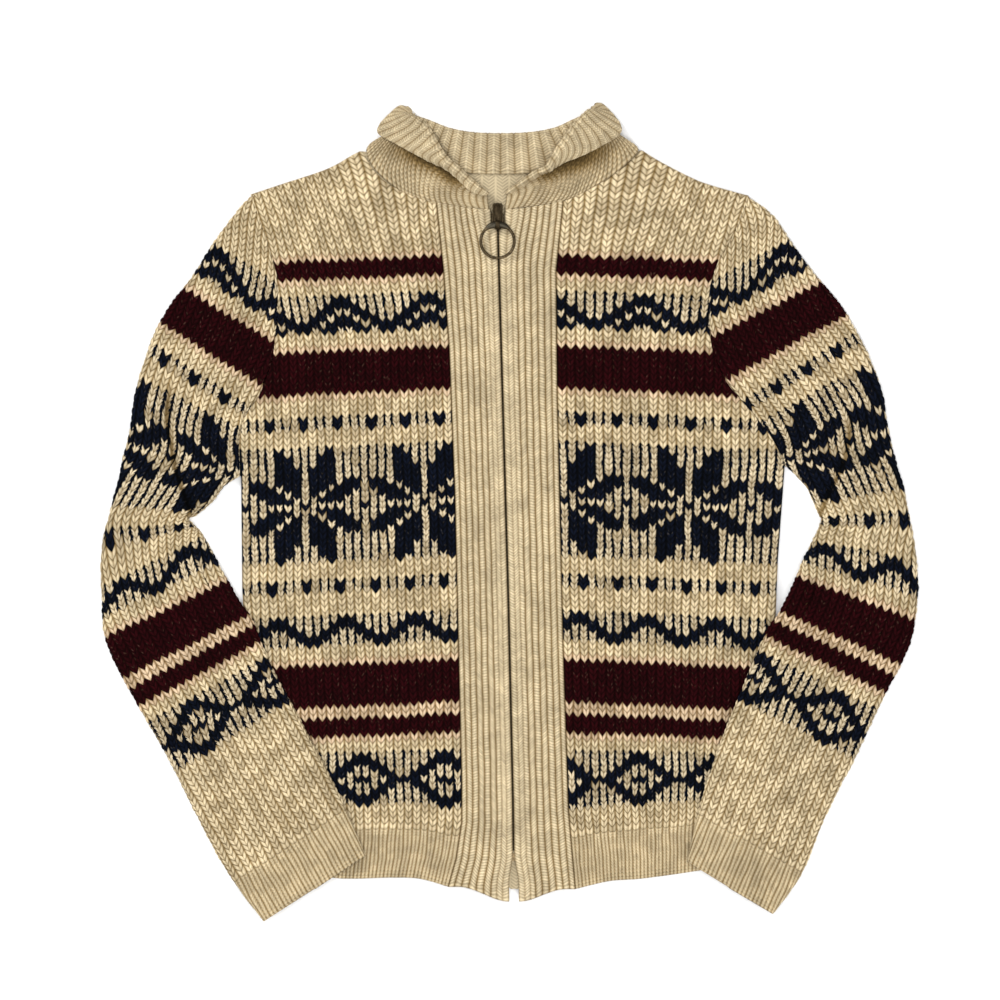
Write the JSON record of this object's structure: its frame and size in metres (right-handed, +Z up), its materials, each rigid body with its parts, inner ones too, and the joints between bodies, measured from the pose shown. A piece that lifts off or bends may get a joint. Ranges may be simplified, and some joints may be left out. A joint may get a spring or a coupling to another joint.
{
  "type": "zip-up sweater",
  "caption": "Rib-knit zip-up sweater laid flat, with a fold-over collar, ribbed front bands, set-in sleeves folded over the body and a round ring pull on its zip.",
  "frame": {"origin": "centre of the box round the sweater, on the surface it lies on", "axes": "+Z up out of the front, +Y towards the collar, +X to the viewer's right, the wearer's left sleeve"},
  "size_m": [0.7184, 0.7195, 0.0199],
  "materials": {
    "body_knit": "thick rib-knit wool, cream ground with maroon stripes and navy figures",
    "band_knit": "fine rib-knit wool, cream",
    "collar_knit": "rib-knit wool, cream",
    "zip_tape": "woven cotton tape",
    "zip_metal": "dull aged brass",
    "ring_metal": "aged brass, worn brighter on top"
  },
  "bodies": {
    "garment": {"back": "body_knit", "front_left": "body_knit", "front_right": "body_knit", "front_band_left": "band_knit", "front_band_right": "band_knit", "sleeve_left": "body_knit", "sleeve_right": "body_knit", "collar": "collar_knit", "zip_tape_left": "zip_tape", "zip_tape_right": "zip_tape", "zip_chain": "zip_metal", "zip_box": "zip_metal", "zip_slider": "zip_metal"},
    "ring": {"ring_pull": "ring_metal"}
  },
  "joints": [
    {"name": "ring_swing", "type": "hinge", "parent": "garment", "child": "ring", "pos_m": [-0.0105, 0.2522, 0.0104], "axis": [-1, 0, 0], "range_deg": [0, 150]}
  ]
}
